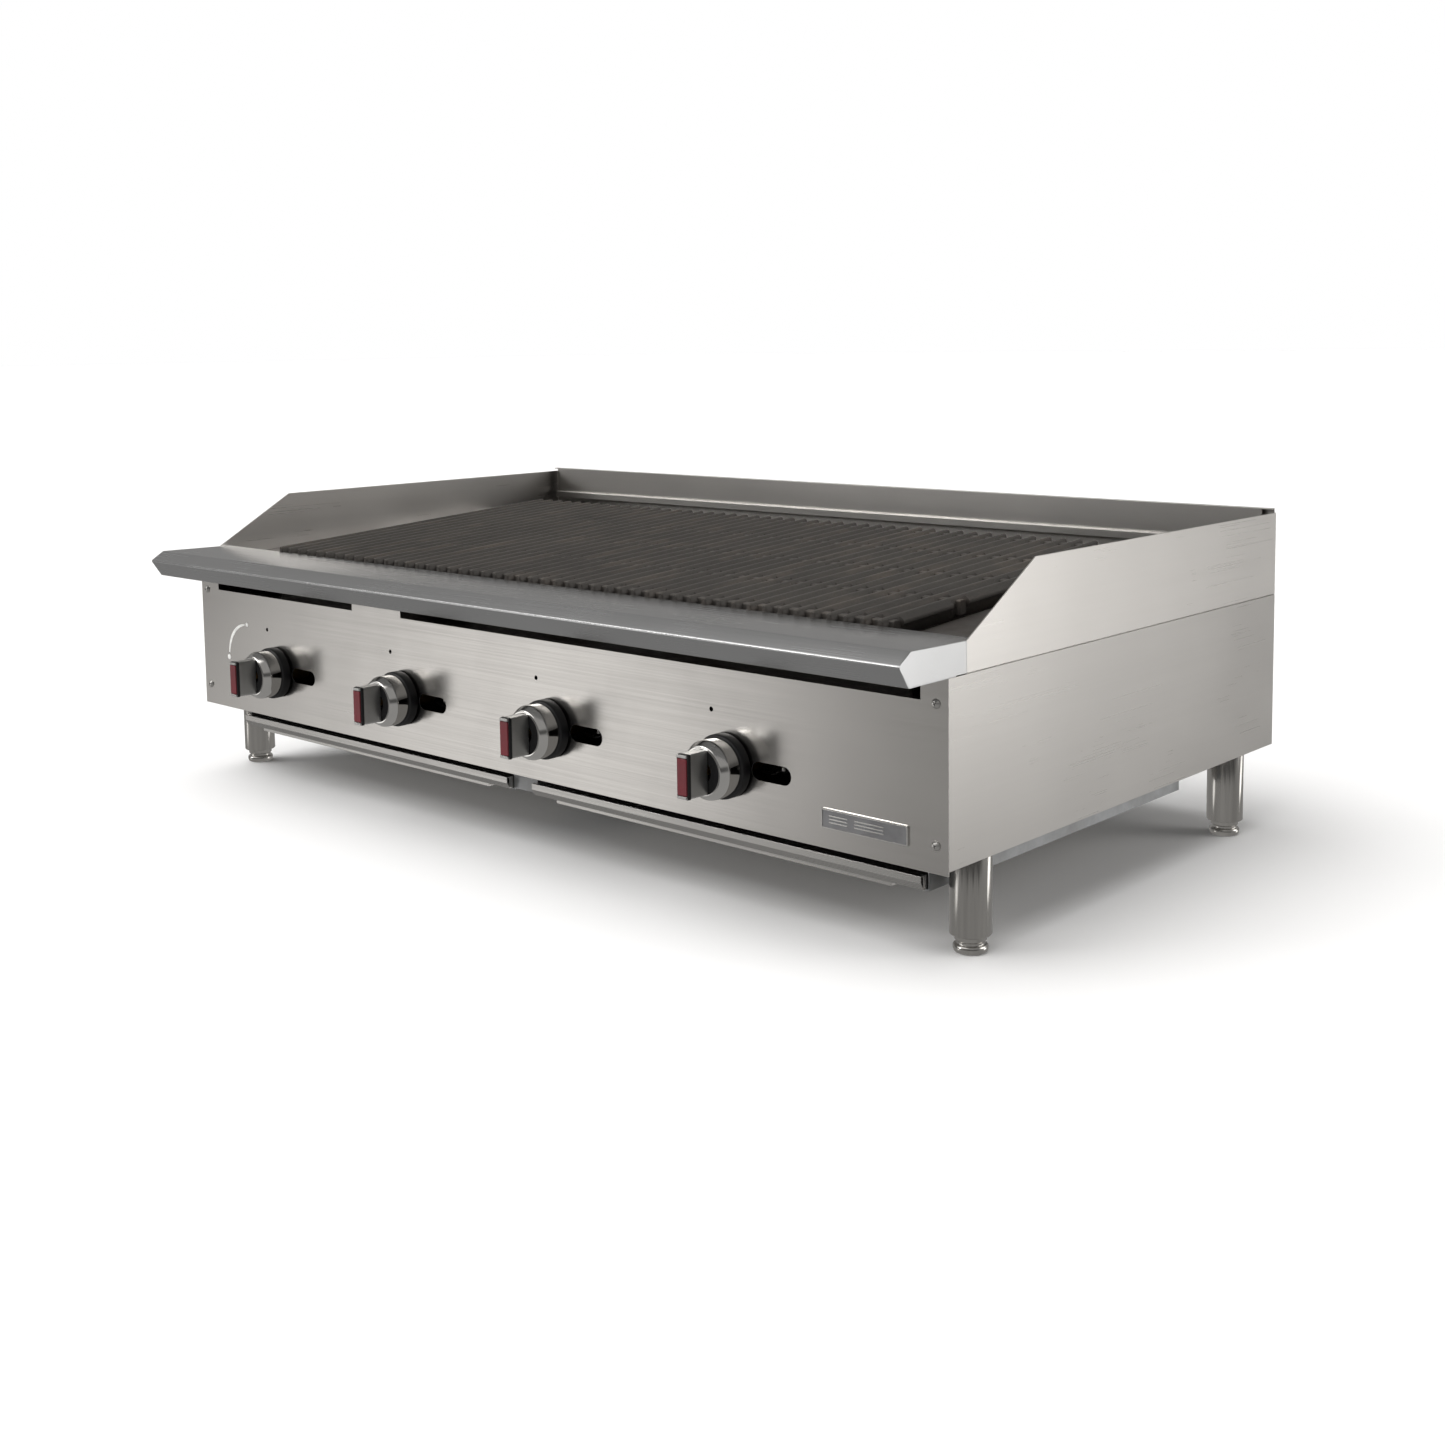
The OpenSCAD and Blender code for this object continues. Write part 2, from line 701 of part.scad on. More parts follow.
// A ring that turns on the mixer mouth, with three windows
module air_shutter(i) {
    inner = mouth_r + shutter_fit;
    y0 = mouth_y + 2;
    y1 = mouth_y + mouth_l - 4;
    window = [10, 6, inner + 9];
    from_panel() color("silver") translate([knob_x(i), 0, knob_z]) difference() {
        turned([[inner, y0], [inner + shutter_t, y0], [inner + shutter_t, y1], [inner, y1]]);
        for (k = [0:2]) rotate([0, 120 * k + 30, 0]) translate([-window.x / 2, y0 + 4, 0]) cube(window);
    }
}

// ---- Gas train ----------------------------------------------------------------------------------

module gas_manifold() {
    start_x = knob_x(1) - pilot_shift - 28;
    cap_w = 14;
    cap_over = 6;
    bore_x = start_x + cap_w + cap_over;
    from_panel() color("darkgray") translate([0, 0, manifold_z]) difference() {
        union() {
            bar_x(manifold_r, start_x, pipe_x);
            translate([start_x - cap_over, manifold_y, 0]) rotate([0, 90, 0])
                cylinder(r = manifold_r + 3, h = cap_w, $fn = 6);
            translate([pipe_x, manifold_y, 0]) sphere(r = manifold_r);
            bar_y(manifold_r, manifold_y, pipe_end, pipe_x);
        }
        bar_x(manifold_bore, bore_x, pipe_x);
        bar_y(manifold_bore, manifold_y, pipe_end + 1, pipe_x);
    }
}

// Four main valves hung under the manifold, each with its jet aimed at a burner's mouth
module valve_bodies() {
    nose_l = 7;
    sink = 1.6;
    from_panel() color("goldenrod") for (i = [1:burner_count]) translate([knob_x(i), 0, 0]) difference() {
        union() {
            bar_y(valve_r, valve_front, valve_rear, 0, knob_z);
            bar_y(neck_r, valve_front - nose_l, valve_front, 0, knob_z);
            bar_y(jet_r, valve_rear, jet_rear, 0, knob_z);
            translate([0, valve_rear - neck_r, knob_z])
                cylinder(r = neck_r, h = manifold_z - manifold_r - knob_z + sink);
        }
        bar_y(stem_r + stem_fit, 0, stem_end + 2, 0, knob_z);
        bar_y(1, valve_rear, jet_rear + 1, 0, knob_z);
        translate([0, 0, manifold_z]) bar_x(manifold_r + joint_gap, -50, 50);
    }
}

// Pilot valves on the manifold, with a tube down to a flame tip between each burner's arms
module pilot_lights() {
    valve_l = 7;
    tip_y = burner_front + 8;
    tip_h = 24;
    elbow_r = pilot_tube_r + 0.6;
    drop = pilot_turn_z - knob_z;
    from_panel() color("goldenrod") for (i = [1:burner_count]) {
        valve_x = knob_x(i) - pilot_shift;
        bar_y(5, pilot_tube_y - valve_l, manifold_y - manifold_r - joint_gap, valve_x, manifold_z);
        translate([valve_x, pilot_tube_y, pilot_turn_z]) {
            cylinder(r = pilot_tube_r, h = manifold_z - pilot_turn_z);
            rotate([0, 90, 0]) cylinder(r = pilot_tube_r, h = slot_x(i) - valve_x);
            sphere(r = elbow_r);
        }
        translate([slot_x(i), pilot_tube_y, knob_z]) {
            cylinder(r = pilot_tube_r, h = drop);
            sphere(r = elbow_r);
            translate([0, 0, drop]) sphere(r = elbow_r);
        }
        bar_y(pilot_tube_r, pilot_tube_y, tip_y, slot_x(i), knob_z);
        translate([slot_x(i), tip_y, knob_z - tip_h / 4]) cylinder(r = 5, h = tip_h);
    }
}

// Inline regulator behind the body, with the gas inlet's thread in its rear face
module pressure_regulator() {
    y0 = body_d + regulator_gap;
    y1 = y0 + regulator_l;
    collar_r = inlet_r + 7;
    collar_l = 14;
    cap_r = 13;
    cup_z = -12;
    rim_z = 8;
    cone_z = 15;
    cap_z = 27;
    from_panel() color("lightsteelblue") translate([pipe_x, 0, manifold_z]) difference() {
        union() {
            bar_y(collar_r, y0, y0 + collar_l);
            bar_y(collar_r - 3, y0, y1);
            bar_y(collar_r, y1 - collar_l, y1);
            translate([0, (y0 + y1) / 2, 0]) {
                translate([0, 0, cup_z]) cylinder(r = housing_r - 5, h = rim_z - cup_z);
                translate([0, 0, rim_z]) cylinder(r = housing_r, h = cone_z - rim_z);
                translate([0, 0, cone_z]) cylinder(r1 = housing_r - 3, r2 = cap_r, h = cap_z - cone_z);
                translate([0, 0, cap_z]) cylinder(r = cap_r - 1, h = 14);
            }
        }
        bar_y(manifold_r + 0.1, y0 - 1, pipe_end + 0.5);
        bar_y(manifold_bore - 4, y0, y1);
        bar_y(inlet_r, y1 - inlet_l, y1 + 1);
    }
}

// ---- Knobs -----------------------------------------------------------------------------------------

// A skirt, a core inside the bezel and an upright grip with a recess for its coloured insert
module knob(i) {
    grip_end = bezel_y - grip_d;
    insert_w = grip_w - 6;
    insert_h = grip_h - 9;
    back_y = -knob_gap;
    from_panel() color("#202022") translate([knob_x(i), 0, knob_z]) difference() {
        union() {
            turned([[0, skirt_y], [bezel_r, skirt_y], [skirt_r, skirt_y + 2], [skirt_r, back_y - 1],
                    [skirt_r - 1, back_y], [0, back_y]]);
            bar_y(knob_core_r, bezel_y, skirt_y);
            translate([-grip_w / 2, grip_end, -grip_h / 2]) cube([grip_w, grip_d, grip_h]);
        }
        bar_y(stem_r + stem_fit, stem_tip, 0);
        translate([-insert_w / 2, grip_end - 1, -insert_h / 2]) cube([insert_w, insert_recess + 1, insert_h]);
    }
}

module knob_bezel(i) {
    shoulder = bezel_y + bezel_t * 0.35;
    inner = knob_core_r + core_fit;
    from_panel() color("gainsboro") translate([knob_x(i), 0, knob_z])
        turned([[inner, skirt_y], [bezel_r, skirt_y], [bezel_r, shoulder + 6], [bezel_r - 1, shoulder],
                [bezel_rim, bezel_y], [inner, bezel_y]]);
}

module valve_stem(i) {
    from_panel() color("goldenrod")
        bar_y(stem_r, stem_tip + 0.5, stem_end, knob_x(i), knob_z);
}

// ---- Drip trays ----------------------------------------------------------------------------------------

module drip_tray(side) {
    wall = tray_w / 2 - tray_t;
    sump_x = tray_w / 2 - tray_margin;
    floor_z = tray_z + tray_t;
    pan_y = 4;
    lip_top = 16;
    right = [[wall, tray_top], [wall, floor_z], [sump_x, floor_z], [sump_x, floor_z - sump]];
    left = [for (k = [3:-1:0]) [-right[k].x, right[k].y]];
    lip = [[lip_top, lip_h], [0, lip_h], [0, lip_h / 2], [pan_y, 0], [pan_y + 20, 0]];
    lip_cut = [[-1, lip_h], [lip_top, lip_h], [lip_top + 34, tray_h + 1], [-1, tray_h + 1]];
    from_panel() color("silver") translate([side * tray_x, tray_front, 0]) difference() {
        union() {
            along(pan_y, tray_d) bent_sheet(concat(right, left), tray_t);
            translate([0, 0, tray_z]) across(tray_w) bent_sheet(lip, tray_t);
            translate([-sump_x - tray_t, pan_y, tray_z - sump])
                cube([2 * (sump_x + tray_t), tray_t, sump + tray_t]);
            translate([-wall, tray_d - tray_t, tray_z]) cube([2 * wall, tray_t, tray_h]);
            translate([-sump_x, tray_d - tray_t, tray_z - sump]) cube([2 * sump_x, tray_t, sump + tray_t]);
        }
        translate([0, 0, tray_z]) across(tray_w + 2) polygon(lip_cut);
    }
}

// ---- Legs and feet --------------------------------------------------------------------------------------

// A tube with a closed top and a fixing stud
module leg(i) {
    inner = foot_stem_r + foot_fit;
    tube_top = leg_top - leg_wall;
    from_panel() color("silver") translate(leg_place(i)) rotate_extrude()
        polygon([[inner, foot_show], [leg_r - 1, foot_show], [leg_r, foot_show + 1], [leg_r, leg_top],
                 [stud_r, leg_top], [stud_r, leg_top + stud_h], [0, leg_top + stud_h],
                 [0, tube_top], [inner, tube_top]]);
}

// A rounded base, a neck and the stem that slides in the leg
module foot(i) {
    waist_r = foot_stem_r - 1.5;
    base_h = 8;
    neck_h = base_h + 3;
    travel = 6;
    top = leg_top - leg_wall - travel;
    from_panel() color("silver") translate(leg_place(i)) rotate_extrude()
        polygon([[0, 0], [foot_r - 3, 0], [foot_r - 0.8, 1.2], [foot_r, 3.5], [foot_r, base_h - 1.5],
                 [foot_r - 1, base_h], [waist_r, base_h + 0.5], [waist_r, neck_h], [foot_stem_r, neck_h + 1],
                 [foot_stem_r, top], [0, top]]);
}

control_panel();
front_ledge();
mirror([1, 0, 0]) side_panel();  // left_side_panel
side_panel();  // right_side_panel
back_panel();
base_frame();
mirror([1, 0, 0]) side_splash();  // left_splash
side_splash();  // right_splash
back_splash();
mirror([1, 0, 0]) firebox_side_wall();  // firebox_left_wall
firebox_side_wall();  // firebox_right_wall
firebox_front_wall();
firebox_rear_wall();
gas_manifold();
valve_bodies();
pilot_lights();
pressure_regulator();
badge_plate();
panel_screws();
drip_tray(-1);  // drip_tray_left
drip_tray(1);  // drip_tray_right
for (i = [1:4]) {
    leg(i);
    foot(i);
}
for (i = [1:grate_count]) {
    grate(i);
}
for (i = [1:burner_count]) {
    burner(i);
    air_shutter(i);
    radiant(i);
    valve_stem(i);
    knob(i);
    knob_bezel(i);
}
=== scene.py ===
import math

import bmesh
import bpy
from mathutils import Matrix, Vector


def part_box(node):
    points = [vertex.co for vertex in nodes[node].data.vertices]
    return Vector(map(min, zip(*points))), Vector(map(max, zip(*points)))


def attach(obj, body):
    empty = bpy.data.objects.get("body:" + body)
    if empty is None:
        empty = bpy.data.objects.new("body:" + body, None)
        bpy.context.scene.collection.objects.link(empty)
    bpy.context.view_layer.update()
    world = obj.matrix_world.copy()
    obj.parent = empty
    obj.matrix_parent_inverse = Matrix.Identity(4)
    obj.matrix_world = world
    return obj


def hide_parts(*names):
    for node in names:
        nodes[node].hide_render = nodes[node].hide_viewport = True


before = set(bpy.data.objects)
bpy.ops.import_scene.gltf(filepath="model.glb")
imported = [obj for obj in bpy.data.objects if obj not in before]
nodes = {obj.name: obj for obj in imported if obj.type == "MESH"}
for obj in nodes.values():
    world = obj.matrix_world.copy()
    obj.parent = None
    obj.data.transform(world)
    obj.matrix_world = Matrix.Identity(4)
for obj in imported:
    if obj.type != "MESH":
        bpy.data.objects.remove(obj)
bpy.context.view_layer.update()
MM = 0.001

# ---- Places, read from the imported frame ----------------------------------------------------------

# FACE is the control panel's front. From here on, sizes are in millimetres, and y counts from FACE.
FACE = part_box("control_panel")[0].y
side_low, side_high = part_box("right_side_panel")
ledge_low, ledge_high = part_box("front_ledge")
seam = side_high.z / MM
half_w = side_high.x / MM


def centre(box):
    """A box's middle in x and z, in millimetres."""
    middle = (box[0] + box[1]) / 2
    return middle.x / MM, middle.z / MM


def place(x, y, z):
    """The frame's point for millimetres in x and z, and y from the panel's front."""
    return x * MM, FACE + y * MM, z * MM


# ---- Materials -----------------------------------------------------------------------------------


class Paint:
    """A procedural material: object-space nodes that end in one Principled shader."""

    def __init__(self, name, metallic=1.0):
        self.material = bpy.data.materials.new(name)
        self.material.use_nodes = True
        self.tree = self.material.node_tree
        self.shader = self.tree.nodes["Principled BSDF"]
        self.shader.inputs["Metallic"].default_value = metallic
        self.coords = self.tree.nodes.new("ShaderNodeTexCoord")

    def noise(self, scale, detail=3.0, stretch=(1, 1, 1), roughness=0.55):
        mapping = self.tree.nodes.new("ShaderNodeMapping")
        mapping.inputs["Scale"].default_value = stretch
        self.tree.links.new(self.coords.outputs["Object"], mapping.inputs["Vector"])
        node = self.tree.nodes.new("ShaderNodeTexNoise")
        node.inputs["Scale"].default_value = scale
        node.inputs["Detail"].default_value = detail
        node.inputs["Roughness"].default_value = roughness
        self.tree.links.new(mapping.outputs["Vector"], node.inputs["Vector"])
        return node.outputs["Fac"]

    def ramp(self, value, stops):
        node = self.tree.nodes.new("ShaderNodeValToRGB")
        ramp = node.color_ramp
        while len(ramp.elements) < len(stops):
            ramp.elements.new(0.5)
        for element, (at, colour) in zip(ramp.elements, stops):
            element.position = at
            element.color = (*colour, 1)
        self.tree.links.new(value, node.inputs["Fac"])
        return node.outputs["Color"]

    def spread(self, value, low, high, start=0.3, end=0.7):
        node = self.tree.nodes.new("ShaderNodeMapRange")
        for name, number in (("From Min", start), ("From Max", end), ("To Min", low), ("To Max", high)):
            node.inputs[name].default_value = number
        self.tree.links.new(value, node.inputs["Value"])
        return node.outputs["Result"]

    def math(self, kind, a, b):
        node = self.tree.nodes.new("ShaderNodeMath")
        node.operation = kind
        for socket, value in zip(node.inputs, (a, b)):
            if isinstance(value, (int, float)):
                socket.default_value = value
            else:
                self.tree.links.new(value, socket)
        return node.outputs["Value"]

    def mix(self, factor, a, b):
        node = self.tree.nodes.new("ShaderNodeMix")
        node.data_type = "RGBA"
        for socket, value in ((node.inputs[0], factor), (node.inputs[6], a), (node.inputs[7], b)):
            if isinstance(value, (int, float)):
                socket.default_value = value
            elif isinstance(value, tuple):
                socket.default_value = (*value, 1)
            else:
                self.tree.links.new(value, socket)
        return node.outputs[2]

    def bump(self, height, strength, distance):
        node = self.tree.nodes.new("ShaderNodeBump")
        node.inputs["Strength"].default_value = strength
        node.inputs["Distance"].default_value = distance
        self.tree.links.new(height, node.inputs["Height"])
        before = self.shader.inputs["Normal"]
        if before.is_linked:
            self.tree.links.new(before.links[0].from_socket, node.inputs["Normal"])
        self.tree.links.new(node.outputs["Normal"], before)

    def put(self, **sockets):
        for name, value in sockets.items():
            socket = self.shader.inputs[name.replace("_", " ")]
            if isinstance(value, (int, float)):
                socket.default_value = value
            elif isinstance(value, tuple):
                socket.default_value = (*value, 1)
            else:
                self.tree.links.new(value, socket)


def shade(colour, factor):
    return tuple(min(1.0, c * factor) for c in colour)


def brushed(name, colour, rough, grain):
    """Brushed sheet: fine grain drawn out along one axis, and broad smudges from cleaning."""
    paint = Paint(name)
    along = [0.004 if axis == grain else 1.0 for axis in "xyz"]
    fine = paint.noise(900, 2, along)
    streak = paint.noise(160, 3, along)
    broad = paint.noise(3.2, 3, (1, 1, 1), 0.5)
    grime = paint.noise(11, 3, (1, 1, 1), 0.5)
    tone = paint.ramp(broad, [(0.3, shade(colour, 0.94)), (0.7, shade(colour, 1.03))])
    tone = paint.mix(paint.spread(streak, 0.0, 0.10), tone, shade(colour, 0.85))
    paint.put(Base_Color=tone)
    paint.put(Roughness=paint.math("ADD", paint.spread(fine, rough - 0.02, rough + 0.03),
                                   paint.spread(grime, 0.0, 0.03, 0.45, 0.75)))
    paint.bump(fine, 0.04, 0.0002)
    return paint.material


def turned_steel(name, colour, rough):
    """Drawn tube or bar: grain along Z, with darker patches."""
    paint = Paint(name)
    along = (1.0, 1.0, 0.03)
    fine = paint.noise(700, 2, along)
    streak = paint.noise(90, 3, along)
    broad = paint.noise(9, 4)
    tone = paint.ramp(streak, [(0.3, shade(colour, 0.82)), (0.7, shade(colour, 1.08))])
    paint.put(Base_Color=paint.mix(paint.spread(broad, 0.0, 0.35, 0.45, 0.8), tone, shade(colour, 0.7)))
    paint.put(Roughness=paint.spread(fine, rough - 0.06, rough + 0.08))
    paint.bump(fine, 0.12, 0.0002)
    return paint.material


def cast_iron(name, colour):
    """Rough casting with seasoning: pitted skin, oily patches, rust-brown and pale ash dust."""
    paint = Paint(name, 0.35)
    skin = paint.noise(420, 4, (1, 1, 1), 0.65)
    pits = paint.noise(1500, 2)
    oil = paint.noise(9, 5, (1, 1, 1), 0.6)
    ash = paint.noise(38, 4, (1, 0.25, 1), 0.6)
    tone = paint.ramp(oil, [(0.3, shade(colour, 0.72)), (0.55, colour), (0.8, shade(colour, 1.25))])
    tone = paint.mix(paint.spread(ash, 0.0, 0.5, 0.52, 0.78), tone, (0.155, 0.125, 0.100))
    tone = paint.mix(paint.spread(skin, 0.35, 0.0, 0.3, 0.5), tone, shade(colour, 0.45))
    paint.put(Base_Color=tone)
    paint.put(Roughness=paint.math("ADD", paint.spread(oil, 0.4, 0.6), paint.spread(pits, 0.0, 0.12)))
    paint.bump(skin, 0.5, 0.0006)
    paint.bump(pits, 0.35, 0.0002)
    return paint.material


def chrome(name, colour, rough):
    """Plated metal with a faint haze and very fine lines."""
    paint = Paint(name)
    haze = paint.noise(30, 4)
    fine = paint.noise(1200, 2, (1, 0.05, 1))
    paint.put(Base_Color=paint.ramp(haze, [(0.3, shade(colour, 0.93)), (0.7, colour)]))
    paint.put(Roughness=paint.math("ADD", paint.spread(haze, rough, rough + 0.06),
                                   paint.spread(fine, 0.0, 0.03)))
    paint.bump(fine, 0.03, 0.0001)
    return paint.material


def moulded(name, colour, rough):
    """Moulded plastic with a fine texture and slightly polished patches."""
    paint = Paint(name, 0.0)
    texture = paint.noise(1400, 2)
    rub = paint.noise(40, 4)
    paint.put(Base_Color=paint.ramp(rub, [(0.3, shade(colour, 0.8)), (0.7, shade(colour, 1.25))]))
    paint.put(Roughness=paint.math("ADD", paint.spread(rub, rough - 0.08, rough + 0.08),
                                   paint.spread(texture, 0.0, 0.06)))
    paint.bump(texture, 0.25, 0.00015)
    return paint.material


def dull_metal(name, colour, rough, stain, amount, metallic=0.9):
    """Plain metal with a mottled surface and a stain that gathers in patches."""
    paint = Paint(name, metallic)
    mottle = paint.noise(60, 5, (1, 1, 1), 0.6)
    patch = paint.noise(7, 5, (1, 1, 1), 0.6)
    fine = paint.noise(900, 2)
    tone = paint.ramp(mottle, [(0.3, shade(colour, 0.8)), (0.7, shade(colour, 1.12))])
    paint.put(Base_Color=paint.mix(paint.spread(patch, 0.0, amount, 0.42, 0.7), tone, stain))
    paint.put(Roughness=paint.math("ADD", paint.spread(mottle, rough - 0.07, rough + 0.07),
                                   paint.spread(patch, 0.0, 0.12)))
    paint.bump(fine, 0.15, 0.0002)
    return paint.material


STEEL = (0.56, 0.545, 0.525)
MATERIALS = {
    "panel": brushed("panel_brushed", STEEL, 0.22, "x"),
    "side": brushed("side_brushed", shade(STEEL, 0.98), 0.29, "y"),
    "guard": brushed("guard_brushed", shade(STEEL, 1.2), 0.29, "y"),
    "splash": brushed("splash_brushed", shade(STEEL, 1.05), 0.33, "x"),
    "ledge": brushed("ledge_brushed", (0.51, 0.515, 0.52), 0.24, "x"),
    "chassis": dull_metal("chassis_galvanised", (0.42, 0.43, 0.44), 0.42, (0.20, 0.18, 0.16), 0.5),
    "firebox": dull_metal("firebox_scorched", (0.20, 0.19, 0.18), 0.48, (0.075, 0.06, 0.05), 0.8),
    "pipe": dull_metal("pipe_black", (0.10, 0.10, 0.105), 0.38, (0.16, 0.12, 0.09), 0.4),
    "brass": dull_metal("brass_cast", (0.62, 0.44, 0.18), 0.30, (0.30, 0.19, 0.08), 0.5, 1.0),
    "pilot": dull_metal("pilot_tube", (0.55, 0.54, 0.52), 0.24, (0.30, 0.28, 0.25), 0.3, 1.0),
    "regulator": dull_metal("regulator_cast", (0.44, 0.45, 0.46), 0.45, (0.28, 0.28, 0.28), 0.4, 0.7),
    "screw": chrome("screw_plated", (0.62, 0.61, 0.59), 0.22),
    "tray": brushed("tray_brushed", (0.52, 0.51, 0.495), 0.27, "x"),
    "leg": turned_steel("leg_brushed", (0.58, 0.565, 0.54), 0.18),
    "foot": turned_steel("foot_turned", (0.60, 0.585, 0.56), 0.18),
    "burner": dull_metal("burner_aluminised", (0.36, 0.35, 0.34), 0.42, (0.16, 0.12, 0.10), 0.7),
    "shutter": dull_metal("shutter_plated", (0.50, 0.50, 0.50), 0.30, (0.28, 0.27, 0.25), 0.4, 1.0),
    "radiant": dull_metal("radiant_burnt", (0.19, 0.165, 0.15), 0.55, (0.22, 0.095, 0.045), 0.75, 0.6),
    "iron": cast_iron("grate_iron", (0.070, 0.064, 0.058)),
    "black": moulded("knob_black", (0.005, 0.005, 0.006), 0.45),
    "red": moulded("knob_red", (0.115, 0.010, 0.016), 0.36),
    "chrome": chrome("knob_chrome", (0.78, 0.77, 0.75), 0.07),
    "satin": chrome("knob_satin", (0.62, 0.62, 0.61), 0.34),
    "badge": chrome("badge_rim", (0.70, 0.69, 0.67), 0.16),
    "badge_face": dull_metal("badge_face", (0.30, 0.30, 0.31), 0.34, (0.24, 0.24, 0.25), 0.4),
    "print": moulded("white_print", (0.80, 0.80, 0.78), 0.45),
}

# ---- Mesh helpers --------------------------------------------------------------------------------


def piece(name, bm, material, body, smooth=35, stands_for=()):
    """Makes the mesh an object that rides a body and stands for CAD nodes; smooth is in degrees."""
    mesh = bpy.data.meshes.new(name)
    bmesh.ops.recalc_face_normals(bm, faces=bm.faces)
    bm.to_mesh(mesh)
    bm.free()
    mesh.materials.append(MATERIALS[material])
    obj = bpy.data.objects.new(name, mesh)
    bpy.context.scene.collection.objects.link(obj)
    for polygon in mesh.polygons:
        polygon.use_smooth = True
    mesh.set_sharp_from_angle(angle=math.radians(smooth))
    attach(obj, body)
    if stands_for:
        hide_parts(*stands_for)
    return obj


def bevel(obj, width, segments=2):
    modifier = obj.modifiers.new("soft_edges", "BEVEL")
    modifier.width = width * MM
    modifier.segments = segments
    modifier.limit_method = "ANGLE"
    modifier.angle_limit = math.radians(35)
    modifier.harden_normals = True
    modifier.use_clamp_overlap = True


def fillet(points, radii, steps=5, closed=False):
    """The path with its corners rounded; radii has one value per corner, 0 for a sharp one."""
    out = []
    count = len(points)
    for i, (point, radius) in enumerate(zip(points, radii)):
        p = Vector(point)
        if radius <= 0 or (not closed and i in (0, count - 1)):
            out.append(p)
            continue
        a = (Vector(points[i - 1]) - p).normalized()
        b = (Vector(points[(i + 1) % count]) - p).normalized()
        half = math.acos(max(-1.0, min(1.0, a.dot(b)))) / 2
        reach = radius / math.tan(half)
        middle = p + (a + b).normalized() * (radius / math.sin(half))
        start, end = p + a * reach - middle, p + b * reach - middle
        sweep = start.angle_signed(end)
        for k in range(steps + 1):
            turn = Matrix.Rotation(-sweep * k / steps, 2)
            out.append(middle + turn @ start)
    return out


def offset(path, t):
    """The open path moved a distance t to its left."""
    out = []
    for i, p in enumerate(path):
        a = (path[max(i, 1)] - path[max(i, 1) - 1]).normalized()
        j = min(i, len(path) - 2)
        b = (path[j + 1] - path[j]).normalized()
        left = Vector((-a.y - b.y, a.x + b.x))
        out.append(p + left * t / (1 + a.dot(b)))
    return out


def join_rings(bm, rings):
    """Faces between each closed ring and the next, and a cap on both ends."""
    n = len(rings[0])
    for low, high in zip(rings, rings[1:]):
        for i in range(n):
            j = (i + 1) % n
            bm.faces.new((low[i], low[j], high[j], high[i]))
    bm.faces.new(rings[0])
    bm.faces.new(rings[-1])


def sweep_x(bm, section, x0, x1, cuts=1):
    """Adds a closed (y, z) section, drawn from x0 to x1."""
    rings = []
    for k in range(cuts + 1):
        x = x0 + (x1 - x0) * k / cuts
        rings.append([bm.verts.new(place(x, y, z)) for y, z in section])
    join_rings(bm, rings)


def lathe(bm, profile, x, z, segments, closed=False):
    """Turns a (radius, y) profile about a Y axis at (x, z)."""
    rings = []
    for k in range(segments):
        a = 2 * math.pi * k / segments
        rings.append([bm.verts.new(place(x + r * math.cos(a), y, z + r * math.sin(a))) for r, y in profile])
    n = len(profile)
    for k in range(segments):
        a, b = rings[k], rings[(k + 1) % segments]
        for i in range(n if closed else n - 1):
            j = (i + 1) % n
            bm.faces.new((a[i], a[j], b[j], b[i]))
    if not closed:
        bmesh.ops.remove_doubles(bm, verts=bm.verts, dist=1e-7)


def loop(w, h, radius, steps=5):
    """A rounded rectangle about the origin."""
    corners = [(-w / 2, -h / 2), (w / 2, -h / 2), (w / 2, h / 2), (-w / 2, h / 2)]
    return fillet(corners, [radius] * 4, steps, closed=True)


def rounded_slab(bm, x, z, w, h, y0, y1, radius, steps=4, top=None):
    """A rounded rectangle in X and Z, drawn from y0 to y1; top is the far end's own (w, h)."""
    path = loop(w, h, radius, steps)
    rings = []
    for y, sx, sz in ((y0, 1, 1), (y1, *((1, 1) if top is None else (top[0] / w, top[1] / h)))):
        rings.append([bm.verts.new(place(x + p.x * sx, y, z + p.y * sz)) for p in path])
    join_rings(bm, rings)


# ---- CAD nodes that keep their own mesh ----------------------------------------------------------

# node prefix: (material, record slot, edge width in mm)
FINISH = {
    "control_panel": ("panel", "body_steel", 0.5),
    "left_side_panel": ("side", "body_steel", 0.5),
    "right_side_panel": ("side", "body_steel", 0.5),
    "back_panel": ("panel", "body_steel", 0.4),
    "left_splash": ("guard", "body_steel", 0.5),
    "right_splash": ("guard", "body_steel", 0.5),
    "back_splash": ("splash", "body_steel", 0.5),
    "base_frame": ("chassis", "chassis_steel", 0.4),
    "firebox": ("firebox", "firebox_steel", 0.4),
    "gas_manifold": ("pipe", "pipe_steel", 0.5),
    "valve_bodies": ("brass", "brass", 0.5),
    "pilot_lights": ("pilot", "pilot_metal", 0.25),
    "pressure_regulator": ("regulator", "regulator_metal", 0.8),
    "drip_tray": ("tray", "tray_steel", 0.4),
    "leg_": ("leg", "leg_steel", 0.4),
    "foot_": ("foot", "foot_steel", 0.4),
    "burner_": ("burner", "burner_steel", 0.3),
    "air_shutter_": ("shutter", "shutter_steel", 0.3),
    "radiant_": ("radiant", "radiant_steel", 0.5),
    "valve_stem_": ("brass", "brass", 0.3),
}

